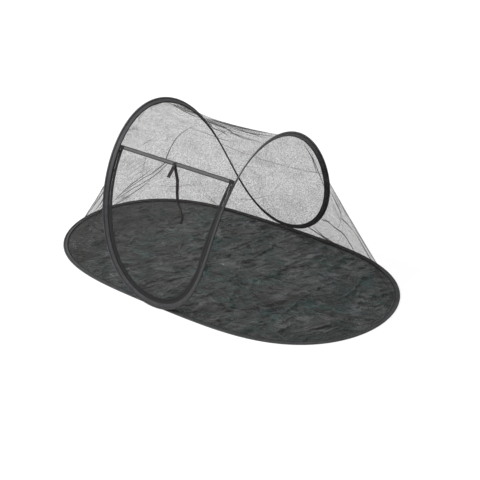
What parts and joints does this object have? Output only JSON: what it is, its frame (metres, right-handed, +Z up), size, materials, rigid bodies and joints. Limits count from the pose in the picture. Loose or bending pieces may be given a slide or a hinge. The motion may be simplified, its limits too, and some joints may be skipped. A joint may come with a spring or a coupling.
{
  "type": "pet tent",
  "caption": "Low mesh pet tent held up by a closed spring hoop over an oval groundsheet ring, with a zip flap at the front under a header tape with ties.",
  "frame": {"origin": "on the ground under the middle of the floor", "axes": "X along the long floor, positive to the right seen from the door; -Y the door side; Z up"},
  "size_m": [1.7498, 0.892, 0.7087],
  "materials": {
    "spring_steel": "bare drawn spring wire",
    "binding": "matt dark grey woven binding",
    "groundsheet": "coated dark grey-green cloth, slightly creased",
    "net": "fine black netting, mostly open",
    "webbing": "grey woven tape with darker edges",
    "tie": "black woven strap",
    "zip_tape": "black woven zip tape",
    "zip_coil": "black nylon coil",
    "zip_metal": "black enamelled die-cast metal"
  },
  "bodies": {
    "tent": {"hoop_wire": "spring_steel", "hoop_ferrule": "spring_steel", "floor_ring_wire": "spring_steel", "floor_ring_ferrule": "spring_steel", "hoop_sleeve": "binding", "floor_hem": "binding", "floor_sheet": "groundsheet", "end_panel_left": "net", "end_panel_right": "net", "roof_panel": "net", "rear_panel": "net", "rear_seam_tape": "net", "front_strip": "net", "door_header": "webbing", "tie_patch": "tie", "zip_outer_tape": "zip_tape", "zip_outer_coil": "zip_coil", "zip_stop_left": "zip_coil", "zip_stop_right": "zip_coil", "strip_tape_left": "zip_tape", "strip_tape_right": "zip_tape", "strip_coil_left": "zip_coil", "strip_coil_right": "zip_coil"},
    "door": {"door_panel": "net", "zip_door_tape": "zip_tape", "zip_door_coil": "zip_coil"},
    "right_slider": {"slider_right": "zip_metal"},
    "left_slider": {"slider_left": "zip_metal"},
    "right_pull": {"pull_right": "zip_metal"},
    "left_pull": {"pull_left": "zip_metal"},
    "outer_tie": {"short_tie": "tie"},
    "inner_tie": {"long_tie": "tie"}
  },
  "joints": [
    {"name": "door_flap", "type": "hinge", "parent": "tent", "child": "door", "pos_m": [0, -0.27215, 0.53319], "axis": [-1, 0, 0], "range_deg": [0, 115]},
    {"name": "right_slider_run", "type": "hinge", "parent": "tent", "child": "right_slider", "pos_m": [0.08113, 0.24925, 0.16701], "axis": [0.9332, 0.2233, -0.2817], "range_deg": [0, 23]},
    {"name": "left_slider_run", "type": "hinge", "parent": "tent", "child": "left_slider", "pos_m": [-0.08113, 0.24925, 0.16701], "axis": [0.9332, -0.2233, 0.2817], "range_deg": [0, 23]},
    {"name": "right_pull_swing", "type": "hinge", "parent": "right_slider", "child": "right_pull", "pos_m": [0.31998, -0.24642, 0.5695], "axis": [-0.997, 0.0252, 0.0736], "range_deg": [0, 125]},
    {"name": "left_pull_swing", "type": "hinge", "parent": "left_slider", "child": "left_pull", "pos_m": [-0.31998, -0.24642, 0.5695], "axis": [-0.997, -0.0252, -0.0736], "range_deg": [0, 125]},
    {"name": "outer_tie_swing", "type": "hinge", "parent": "tent", "child": "outer_tie", "pos_m": [0, -0.23737, 0.57707], "axis": [-1, 0, 0], "range_deg": [0, 100]},
    {"name": "inner_tie_swing", "type": "hinge", "parent": "tent", "child": "inner_tie", "pos_m": [0, -0.23027, 0.58306], "axis": [-1, 0, 0], "range_deg": [-60, 12]}
  ]
}
